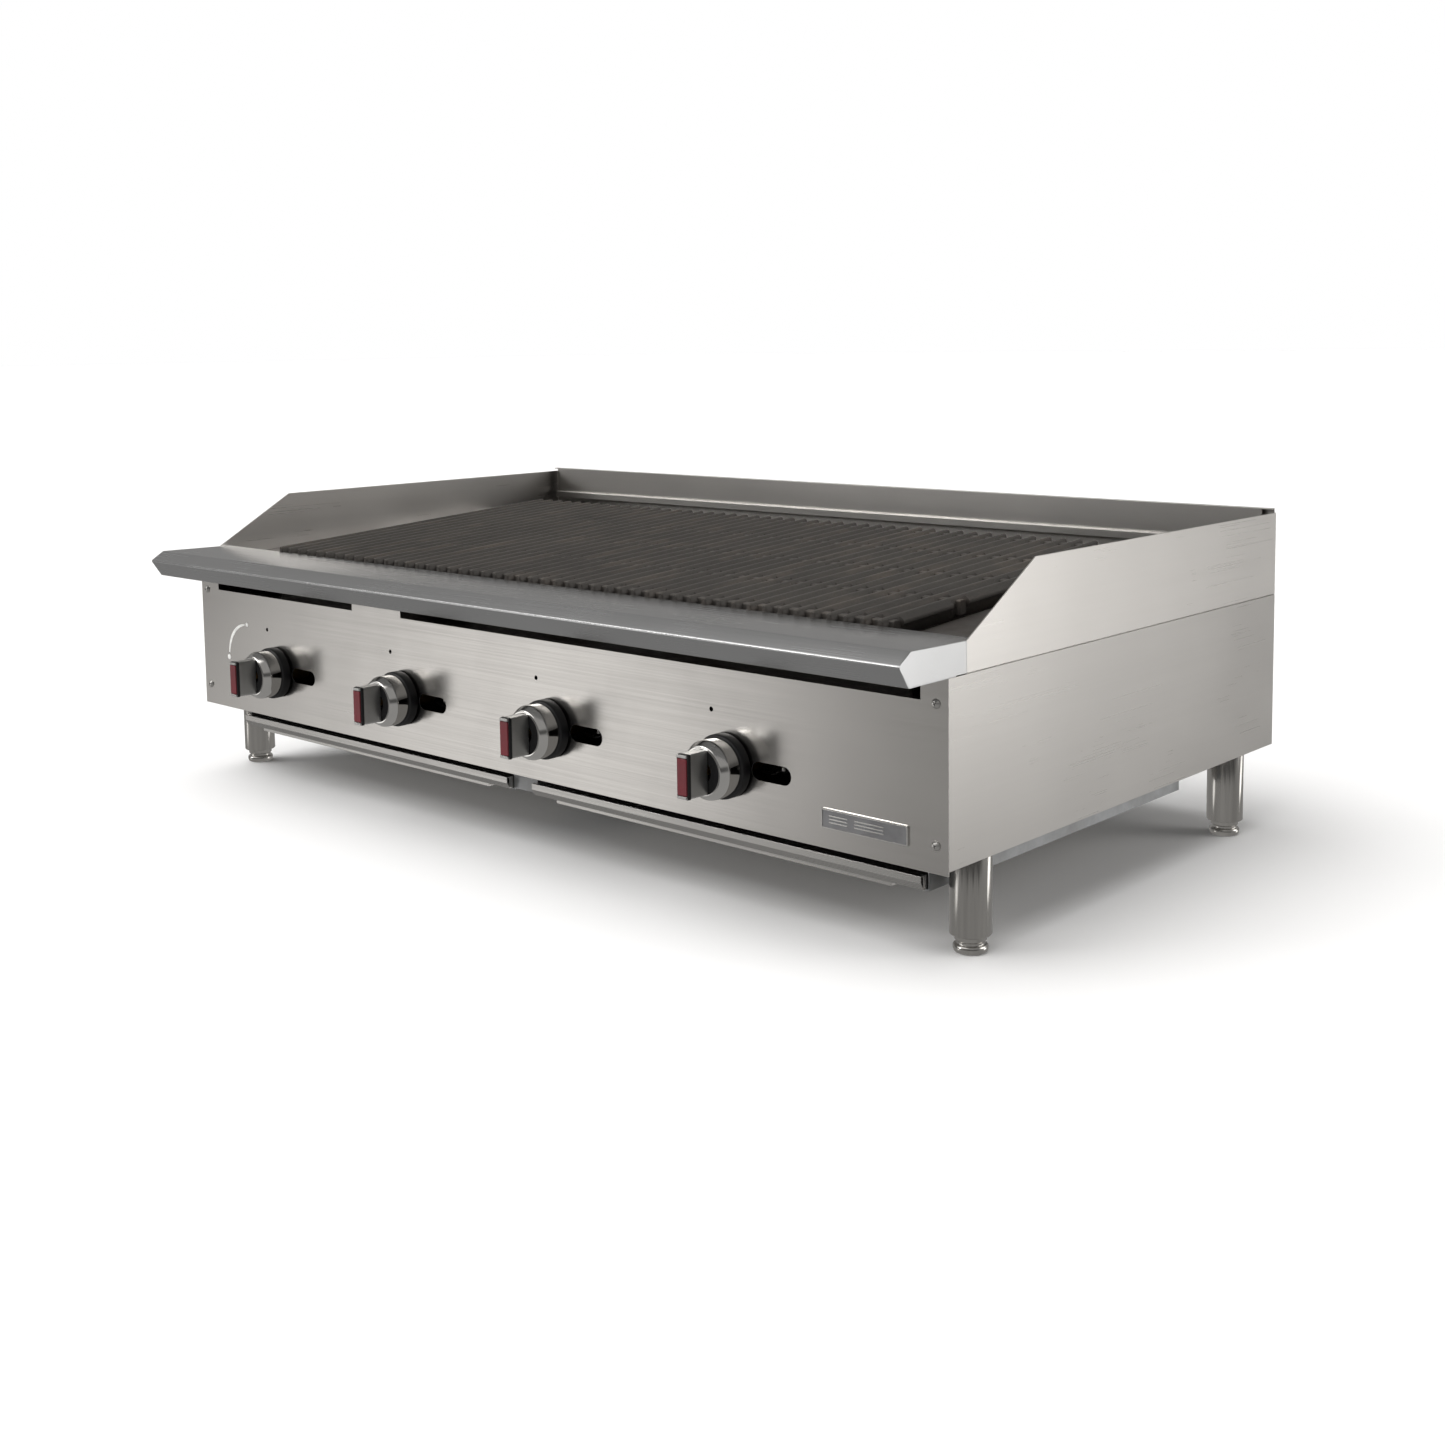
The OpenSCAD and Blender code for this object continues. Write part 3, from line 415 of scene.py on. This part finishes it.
for name, node in nodes.items():
    found = [value for prefix, value in FINISH.items() if name.startswith(prefix)]
    if not found:
        continue
    material, slot, width = found[0]
    node.data.materials.clear()
    node.data.materials.append(MATERIALS[material])
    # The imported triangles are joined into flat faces, so that the bevel finds the real edges.
    weld = node.modifiers.new("weld", "WELD")
    weld.merge_threshold = 0.01 * MM
    flat = node.modifiers.new("flat_faces", "DECIMATE")
    flat.decimate_type = "DISSOLVE"
    flat.angle_limit = math.radians(0.6)
    bevel(node, width)

# ---- Front ledge ---------------------------------------------------------------------------------

# The section's points are (y, height over the seam): a top that bends down to the nose, and a lower
# face that slopes back to the panel. The sheet ends just inside the solid end caps.
SHEET, CAP_T, CAP_GAP = 1.5, 1.5, 0.15
ledge_d = (ledge_high.y - FACE) / MM
ledge_reach = (FACE - ledge_low.y) / MM
crown = (ledge_high.z - side_high.z) / MM
nose = [(17 - ledge_reach, crown), (-ledge_reach, crown - 10.5), (-ledge_reach, crown - 13),
        (13 - ledge_reach, 0)]


def raised(points):
    return [(y, height + seam) for y, height in points]


bm = bmesh.new()
outer = fillet(raised([(ledge_d, 5), (ledge_d, crown - 2)] + nose + [(12, 0)]),
               [0, 2.2, 3.5, 2.0, 3.0, 2.4, 0])
section = list(outer) + list(reversed(offset(outer, SHEET)))
sweep_x(bm, section, CAP_GAP - half_w, half_w - CAP_GAP, 24)
cap = fillet(raised([(28, crown - 2)] + nose[:-1] + [(13.5 - ledge_reach, 0.8), (28, 0.8)]),
             [1.0, 3.3, 1.8, 2.8, 2.2, 0], closed=True)
for side in (-1, 1):
    sweep_x(bm, cap, side * (half_w - CAP_T), side * half_w)
bevel(piece("front_bullnose", bm, "ledge", "root", 30, ["front_ledge"]), 0.25)

# ---- Grates --------------------------------------------------------------------------------------

GRATE_COUNT, BAR_COUNT, RIB_COUNT = 7, 7, 5
BAR_H, RIB_T, RIB_INSET = 22, 9, 10
low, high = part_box("grate_4")
reach_y, rise_z = (high.y - low.y) / MM, (high.z - low.z) / MM
# The slope follows from the box's length and height by repeated substitution.
slope = 0.0
for _ in range(30):
    slope = math.atan2(rise_z - BAR_H * math.cos(slope), reach_y - BAR_H * math.sin(slope))
grate_l = (reach_y - BAR_H * math.sin(slope)) / math.cos(slope)
front_top = (low.z / MM) + BAR_H * math.cos(slope)
grate_front = (low.y - FACE) / MM
tilt = Matrix.Translation((0, FACE + grate_front * MM, front_top * MM)) @ Matrix.Rotation(slope, 4, "X")
grate_w = (high.x - low.x) / MM
bar_pitch = (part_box("grate_5")[0].x - low.x) / MM / BAR_COUNT
ribs = [RIB_INSET + (grate_l - 2 * RIB_INSET - RIB_T) * k / (RIB_COUNT - 1) for k in range(RIB_COUNT)]


def bar_ring(shoulder, lift=0.0, pinch=1.0):
    """A bar's section: rounded ridge, sloping shoulders, tapering foot."""
    right = [(0.9, 0), (1.9, -0.35), (2.6, -1.2), (3.1, -2.4), (shoulder - 0.9, -5.2), (shoulder, -6.3),
             (shoulder, -9.2), (min(shoulder, 4.6), -12.5), (3.2, -20.6), (2.2, -BAR_H)]
    right = [(x * pinch, z - lift if z > -BAR_H / 2 else z + lift) for x, z in right]
    return right + [(-x, z) for x, z in reversed(right)]


# Along a bar: (distance from the front, shoulder, lift, pinch). The bars narrow beside the ribs.
SLIM, WIDE = 4.4, 7.75
stations = [(0, 3.9, 1.2, 0.8), (0.9, 4.2, 0.3, 0.95), (2.2, 4.3, 0, 1)]
for k, rib in enumerate(ribs):
    if k:
        stations += [(rib - 9, WIDE, 0, 1), (rib - 7.6, SLIM, 0, 1)]
    if k < RIB_COUNT - 1:
        stations += [(rib + RIB_T + 7.6, SLIM, 0, 1), (rib + RIB_T + 9, WIDE, 0, 1)]
stations += [(grate_l - 2.2, 4.3, 0, 1), (grate_l - 0.9, 4.2, 0.3, 0.95), (grate_l, 3.9, 1.2, 0.8)]


def tilted(x, y, z):
    """A grate's own millimetres: y along the bars from their front ends, z over their ridges."""
    return tilt @ Vector((x * MM, y * MM, z * MM))


for i in range(1, GRATE_COUNT + 1):
    middle = centre(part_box(f"grate_{i}"))[0]
    bm = bmesh.new()
    for b in range(BAR_COUNT):
        x0 = middle + bar_pitch * (b - (BAR_COUNT - 1) / 2)
        rings = [[bm.verts.new(tilted(x0 + x, y, z)) for x, z in bar_ring(shoulder, lift, pinch)]
                 for y, shoulder, lift, pinch in stations]
        join_rings(bm, rings)
    for rib in ribs:
        rim = fillet([(rib, -18), (rib, -3), (rib + RIB_T, -3), (rib + RIB_T, -18)],
                     [0, 1.8, 1.8, 0], 3, closed=True)
        mid_y, mid_z, end = rib + RIB_T / 2, -10.5, grate_w / 2
        rings = []
        for x, pinch in ((-end, 0.92), (0.7 - end, 1), (end - 0.7, 1), (end, 0.92)):
            rings.append([bm.verts.new(tilted(middle + x, mid_y + (p.x - mid_y) * pinch,
                                              mid_z + (p.y - mid_z) * pinch)) for p in rim])
        join_rings(bm, rings)
    piece(f"cast_grate_{i}", bm, "iron", f"grate_{i}", 40, [f"grate_{i}"])

# ---- Knobs ---------------------------------------------------------------------------------------

for i in range(1, 5):
    box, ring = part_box(f"knob_{i}"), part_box(f"knob_bezel_{i}")
    x, z = centre(box)
    skirt_r = (box[1].x - box[0].x) / 2 / MM
    back, tip = (box[1].y - FACE) / MM, (box[0].y - FACE) / MM
    bezel_r = (ring[1].x - ring[0].x) / 2 / MM
    seat, rim_y = (ring[1].y - FACE) / MM, (ring[0].y - FACE) / MM

    bm = bmesh.new()
    skirt = fillet([(12, back), (skirt_r, back), (skirt_r, seat), (12, seat)],
                   [0, 1.2, 2.6, 0], 4, closed=True)
    lathe(bm, [tuple(p) for p in skirt], x, z, 72, closed=True)
    disc = [(11.5, rim_y + 1.2), (22.2, rim_y + 1.2), (22.2, rim_y + 2.4), (11.5, rim_y + 2.4)]
    lathe(bm, disc, x, z, 48, closed=True)
    piece(f"knob_skirt_{i}", bm, "black", f"knob_{i}", 35, [f"knob_{i}"])

    bm = bmesh.new()
    shoulder = seat - (seat - rim_y) * 0.65
    dome = fillet([(12.2, seat), (bezel_r, seat), (bezel_r, shoulder), (25.3, rim_y + 0.2),
                   (22.6, rim_y), (22.3, rim_y + 2.2), (12.2, rim_y + 2.2)],
                  [0, 0.8, 5.5, 1.6, 0.6, 0.4, 0], 6, closed=True)
    lathe(bm, [tuple(p) for p in dome], x, z, 96, closed=True)
    piece(f"knob_ring_{i}", bm, "chrome", f"knob_{i}", 40, [f"knob_bezel_{i}"])

    bm = bmesh.new()
    rounded_slab(bm, x, z, 15.6, 44.4, rim_y + 1.0, tip + 5.2, 2.6, 5, top=(14.8, 43.6))
    bevel(piece(f"knob_grip_{i}", bm, "satin", f"knob_{i}", 35), 0.5, 3)

    bm = bmesh.new()
    rounded_slab(bm, x, z, 16, 45, tip + 5.4, tip + 1.6, 2.4, 5, top=(15.2, 44.2))
    bevel(piece(f"knob_frame_{i}", bm, "black", f"knob_{i}", 35), 0.7, 3)

    bm = bmesh.new()
    rounded_slab(bm, x, z, 12.6, 37, tip + 2.4, tip + 0.3, 1.8, 4, top=(12.0, 36.4))
    bevel(piece(f"knob_insert_{i}", bm, "red", f"knob_{i}", 35), 0.4, 2)

    bm = bmesh.new()
    for end in (-1, 1):
        rounded_slab(bm, x, z + end * 20.2, 13.4, 3.2, tip + 2.2, tip, 1.2, 4, top=(12.6, 2.6))
    bevel(piece(f"knob_caps_{i}", bm, "satin", f"knob_{i}", 35), 0.3, 2)

# ---- Badge, screws and print ---------------------------------------------------------------------

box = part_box("badge_plate")
x, z = centre(box)
w, h = (box[1].x - box[0].x) / MM, (box[1].z - box[0].z) / MM
thick = (FACE - box[0].y) / MM

bm = bmesh.new()
rings = []
for path, y in ((loop(w, h, 2), 0), (loop(w, h, 2), 0.5 - thick), (loop(w - 0.9, h - 0.9, 1.7), -thick),
                (loop(w - 2.6, h - 2.6, 1.2), -thick), (loop(w - 3.4, h - 3.4, 0.9), 0.9 - thick)):
    rings.append([bm.verts.new(place(x + p.x, y, z + p.y)) for p in path])
join_rings(bm, rings)
piece("badge_rim", bm, "badge", "root", 40, ["badge_plate"])
bm = bmesh.new()
rounded_slab(bm, x, z, w - 3.6, h - 3.6, 0.95 - thick, 0.75 - thick, 0.8)
piece("badge_field", bm, "badge_face", "root", 40)
bm = bmesh.new()
for dx, length in ((-30, 22), (6, 34)):
    for dz in (-3.2, 0, 3.2):
        rounded_slab(bm, x + dx, z + dz, length, 1.1, 0.8 - thick, 0.5 - thick, 0.5, 3)
piece("badge_ribs", bm, "badge", "root", 40)

screws = bmesh.new()
painted_recess_shade = bmesh.new()
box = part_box("panel_screws")
head_r = 4.6
for sx in (box[0].x / MM + head_r, box[1].x / MM - head_r):
    for sz in (box[0].z / MM + head_r, box[1].z / MM - head_r):
        head = fillet([(0.6, 1), (head_r - 1.0, 1), (head_r, 0), (head_r, -0.7), (2.6, -2.9), (0.6, -3.0)],
                      [0, 0, 0.3, 1.6, 1.2, 0], 4, closed=False)
        lathe(screws, [tuple(p) for p in head], sx, sz, 32)
        # Each cross is a thin black plate on the head's face, not a recess: painted shade where the recess
        # would be.
        for turn in (0.4, 0.4 + math.pi / 2):
            c, s = math.cos(turn), math.sin(turn)
            corners = [(-1.9, -0.35), (1.9, -0.35), (1.9, 0.35), (-1.9, 0.35)]
            rings = [[painted_recess_shade.verts.new(place(sx + (a * c - b * s) * k, y, sz + (a * s + b * c) * k))
                      for a, b in corners] for y, k in ((-2.86, 0.8), (-3.0, 1))]
            join_rings(painted_recess_shade, rings)
piece("panel_screw_heads", screws, "screw", "root", 35, ["panel_screws"])
# The black crosses are painted shade standing for the heads' recesses.
piece("panel_screw_cross_painted_shade", painted_recess_shade, "black", "root", 35)

# The print about the first knob: an arc that thins towards its ends, and three dots.
INK = (0.05, -0.12)
ARC_STEPS, ARC_START, ARC_END, ARC_HALF = 28, 96, 178, 2.2
bm = bmesh.new()
arc_x, arc_z, arc_r = -half_w + 104, seam - 106, 42
rings = []
for k in range(ARC_STEPS + 1):
    a = math.radians(ARC_START + (ARC_END - ARC_START) * k / ARC_STEPS)
    w = ARC_HALF * (0.25 + 0.75 * math.sin(math.pi * (0.08 + 0.84 * k / ARC_STEPS)))
    corners = ((arc_r - w, INK[0]), (arc_r + w, INK[0]), (arc_r + w, INK[1]), (arc_r - w, INK[1]))
    rings.append([bm.verts.new(place(arc_x + r * math.cos(a), y, arc_z + r * math.sin(a)))
                  for r, y in corners])
join_rings(bm, rings)
for a, r, size in ((88, arc_r + 1, 2.6), (186, arc_r + 2, 3.4), (199, arc_r - 4, 2.4)):
    dot_x, dot_z = arc_x + r * math.cos(math.radians(a)), arc_z + r * math.sin(math.radians(a))
    rounded_slab(bm, dot_x, dot_z, 2 * size, 2 * size, *INK, size * 0.98, 5)
piece("panel_print", bm, "print", "root", 35)

# ---- Louvre hoods on the back panel --------------------------------------------------------------

# Each hood's section is (distance behind the panel, height); the hood grows from its ends inwards.
HOOD_COLS, HOOD_ROWS, HOOD_PITCH_X, HOOD_PITCH_Z, HOOD_RISE = 12, 3, 60, 18, 40
hood = [(0.02, 9.5), (1.0, 9.0), (2.3, 7.2), (2.9, 4.6), (3.0, 0.2)]
hood += [(depth - 0.7, height) for depth, height in reversed(hood)]
growth = [(-25, 0.04), (-23.5, 0.45), (-21, 0.9), (-18, 1)]
growth += [(-x, grow) for x, grow in reversed(growth)]
bm = bmesh.new()
back_y = (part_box("back_panel")[1].y - FACE) / MM
for col in range(HOOD_COLS):
    x = (col - (HOOD_COLS - 1) / 2) * HOOD_PITCH_X
    for row in range(HOOD_ROWS):
        z = side_low.z / MM + HOOD_RISE + HOOD_PITCH_Z * row
        rings = []
        for dx, grow in growth:
            rings.append([bm.verts.new(place(x + dx, back_y + max(depth * grow, -0.6), z + height))
                          for depth, height in hood])
        join_rings(bm, rings)
piece("back_louvres", bm, "panel", "root", 40)

# ---- Stage ---------------------------------------------------------------------------------------

FLOOR = 60
floor_mesh = bpy.data.meshes.new("floor")
floor_mesh.from_pydata([(-FLOOR, -FLOOR, 0), (FLOOR, -FLOOR, 0), (FLOOR, FLOOR, 0), (-FLOOR, FLOOR, 0)],
                       [], [(0, 1, 2, 3)])
floor = bpy.data.objects.new("floor", floor_mesh)
bpy.context.scene.collection.objects.link(floor)
plain = bpy.data.materials.new("floor_plain")
plain.use_nodes = True
paper = plain.node_tree.nodes["Principled BSDF"]
paper.inputs["Base Color"].default_value = (0.84, 0.84, 0.84, 1)
paper.inputs["Roughness"].default_value = 0.9
paper.inputs["Specular IOR Level"].default_value = 0.1
floor_mesh.materials.append(plain)


def softbox(name, spot, target, size, power, colour):
    """An area light, size in metres and power in watts, that the camera doesn't see."""
    light = bpy.data.lights.new(name, "AREA")
    light.shape = "RECTANGLE"
    light.size, light.size_y = size
    light.energy = power
    light.color = colour
    obj = bpy.data.objects.new(name, light)
    obj.location = spot
    obj.rotation_euler = (Vector(target) - Vector(spot)).to_track_quat("-Z", "Y").to_euler()
    bpy.context.scene.collection.objects.link(obj)
    obj.visible_camera = False


softbox("left_front", (-2.3, -2.5, 1.3), (0, -0.3, 0.2), (1.4, 1.2), 8, (1.0, 0.985, 0.965))
softbox("right_back", (2.6, 1.9, 1.4), (0.6, 0, 0.25), (1.4, 1.2), 3, (1.0, 0.97, 0.94))
sun = bpy.data.lights.new("soft_top", "SUN")
sun.energy = 2.6
sun.angle = math.radians(75)
top = bpy.data.objects.new("soft_top", sun)
top.visible_glossy = False
top.rotation_euler = Vector((0.25, 0.3, -1)).to_track_quat("-Z", "Y").to_euler()
bpy.context.scene.collection.objects.link(top)

# The studio: grey walls, darker low at the front, with large pale reflector screens. The camera sees
# it plain white, and the floor stays out of reflections, so that the steel mirrors the walls.
floor.visible_glossy = False
world = bpy.data.worlds.new("studio")
world.use_nodes = True
bpy.context.scene.world = world
tree = world.node_tree


def calc(kind, a, b=0.0):
    node = tree.nodes.new("ShaderNodeMath")
    node.operation = kind
    for socket, value in zip(node.inputs, (a, b)):
        if isinstance(value, (int, float)):
            socket.default_value = value
        else:
            tree.links.new(value, socket)
    return node.outputs[0]


def fade(value, start, end, low, high):
    node = tree.nodes.new("ShaderNodeMapRange")
    node.interpolation_type = "SMOOTHSTEP"
    for name, number in (("From Min", start), ("From Max", end), ("To Min", low), ("To Max", high)):
        node.inputs[name].default_value = number
    tree.links.new(value, node.inputs["Value"])
    return node.outputs["Result"]


def screen(azimuth, elevation, inner, outer, radiance):
    """A round reflector screen, angles in degrees, azimuth 0 along +X and 90 along +Y. It has its full
    radiance within the inner angle and none past the outer one."""
    a, e = math.radians(azimuth), math.radians(elevation)
    node = tree.nodes.new("ShaderNodeVectorMath")
    node.operation = "DOT_PRODUCT"
    node.inputs[1].default_value = (math.cos(a) * math.cos(e), math.sin(a) * math.cos(e), math.sin(e))
    tree.links.new(sight.outputs["Generated"], node.inputs[0])
    return fade(node.outputs["Value"], math.cos(math.radians(outer)), math.cos(math.radians(inner)),
                0, radiance)


sight = tree.nodes.new("ShaderNodeTexCoord")
split = tree.nodes.new("ShaderNodeSeparateXYZ")
tree.links.new(sight.outputs["Generated"], split.inputs["Vector"])
low_band = fade(calc("ABSOLUTE", calc("SUBTRACT", split.outputs["Z"], 0.10)), 0.06, 0.24, 1, 0)
at_front = fade(split.outputs["Y"], -0.3, 0.15, 1, 0)
WALLS, WALLS_DARKER = 0.30, 0.22
glow = calc("SUBTRACT", WALLS, calc("MULTIPLY", calc("MULTIPLY", low_band, at_front), WALLS_DARKER))
SCREENS = [
    (221, -12, 5, 10, 1.1),  # for the panel
    (47, -6, 6, 12, 2.4),  # for the right side
    (232, 17, 2, 9, 10.0),  # for the back splash
    (33, 24, 8, 22, 2.6),  # for the left splash
    (230, 60, 14, 34, 1.4),  # for the faces that look up
]
for spot in SCREENS:
    glow = calc("ADD", glow, screen(*spot))
room = tree.nodes["Background"]
room.inputs["Color"].default_value = (1.0, 0.985, 0.965, 1)
tree.links.new(glow, room.inputs["Strength"])
seen = tree.nodes.new("ShaderNodeBackground")
seen.inputs["Color"].default_value = (1, 1, 1, 1)
seen.inputs["Strength"].default_value = 1.0
path = tree.nodes.new("ShaderNodeLightPath")
choose = tree.nodes.new("ShaderNodeMixShader")
tree.links.new(path.outputs["Is Camera Ray"], choose.inputs["Fac"])
tree.links.new(room.outputs["Background"], choose.inputs[1])
tree.links.new(seen.outputs["Background"], choose.inputs[2])
tree.links.new(choose.outputs["Shader"], tree.nodes["World Output"].inputs["Surface"])
bpy.context.scene.view_settings.view_transform = "Standard"

# ---- Camera --------------------------------------------------------------------------------------

EYE = Vector((1.4844511, -1.5707467, 0.5651017))
yaw, pitch, roll = 0.7410156, 0.1011574, -0.0129482
ahead = Vector((-math.sin(yaw) * math.cos(pitch), math.cos(yaw) * math.cos(pitch), -math.sin(pitch)))
level = Vector((math.cos(yaw), math.sin(yaw), 0))
over = level.cross(ahead)
right = level * math.cos(roll) + over * math.sin(roll)
up = over * math.cos(roll) - level * math.sin(roll)
lens = bpy.data.cameras.new("camera")
lens.sensor_width = 36
lens.lens = 43.507
lens.shift_y = -0.1401
lens.clip_end = 200
camera = bpy.data.objects.new("camera", lens)
camera.matrix_world = Matrix.Translation(EYE) @ Matrix((right, up, -ahead)).transposed().to_4x4()
bpy.context.scene.collection.objects.link(camera)
bpy.context.scene.camera = camera
